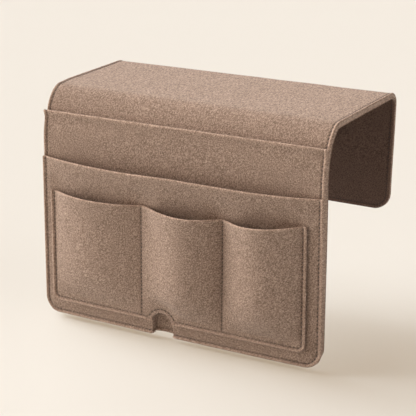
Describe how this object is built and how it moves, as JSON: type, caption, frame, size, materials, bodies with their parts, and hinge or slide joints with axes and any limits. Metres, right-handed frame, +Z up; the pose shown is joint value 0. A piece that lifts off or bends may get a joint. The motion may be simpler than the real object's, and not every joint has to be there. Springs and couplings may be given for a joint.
{
  "type": "sofa armrest organizer",
  "caption": "Felt saddle that hangs over a sofa's arm, with layered sewn pockets and an arched cable notch on its long side and a short flap behind.",
  "frame": {"origin": "middle of the flat underside of the top, which rests on the sofa's arm", "axes": "+X along the arm to the right as seen from the pockets, -Y out of the pocket side, +Z up"},
  "size_m": [0.32, 0.1949, 0.243],
  "materials": {
    "outer_felt": "heather wool felt, matt",
    "lining_felt": "heather wool felt, matt, inner face",
    "sewing_thread": "spun thread a shade darker than the felt"
  },
  "bodies": {
    "top": {"shell_top": "outer_felt", "lining_top": "lining_felt", "shell_front_bend": "outer_felt", "lining_front_bend": "lining_felt", "shell_rear_bend": "outer_felt", "lining_rear_bend": "lining_felt", "top_edge_thread_left": "sewing_thread", "top_edge_thread_right": "sewing_thread", "front_bend_thread_left": "sewing_thread", "front_bend_thread_right": "sewing_thread", "rear_bend_thread_left": "sewing_thread", "rear_bend_thread_right": "sewing_thread"},
    "front_drop": {"shell_front_drop": "outer_felt", "lining_front_drop": "lining_felt", "rear_pocket_panel": "outer_felt", "middle_pocket_panel": "outer_felt", "front_pocket_row": "outer_felt", "front_drop_thread_left": "sewing_thread", "front_drop_thread_right": "sewing_thread", "pocket_row_thread": "sewing_thread", "divider_thread_left": "sewing_thread", "divider_thread_right": "sewing_thread"},
    "rear_flap": {"shell_rear_flap": "outer_felt", "lining_rear_flap": "lining_felt", "rear_flap_thread": "sewing_thread"}
  },
  "joints": [
    {"name": "front_fold", "type": "hinge", "parent": "top", "child": "front_drop", "pos_m": [0, -0.07401, -0.00425], "axis": [-1, 0, 0], "range_deg": [-15, 90], "stiffness_Nm_per_rad": 0.4, "springref_deg": 6.07, "deforming": ["shell_front_bend", "lining_front_bend", "front_bend_thread_left", "front_bend_thread_right"]},
    {"name": "rear_fold", "type": "hinge", "parent": "top", "child": "rear_flap", "pos_m": [0, 0.06793, -0.00062], "axis": [1, 0, 0], "range_deg": [-20, 90], "stiffness_Nm_per_rad": 0.25, "springref_deg": 0.32, "deforming": ["shell_rear_bend", "lining_rear_bend", "rear_bend_thread_left", "rear_bend_thread_right"]}
  ]
}
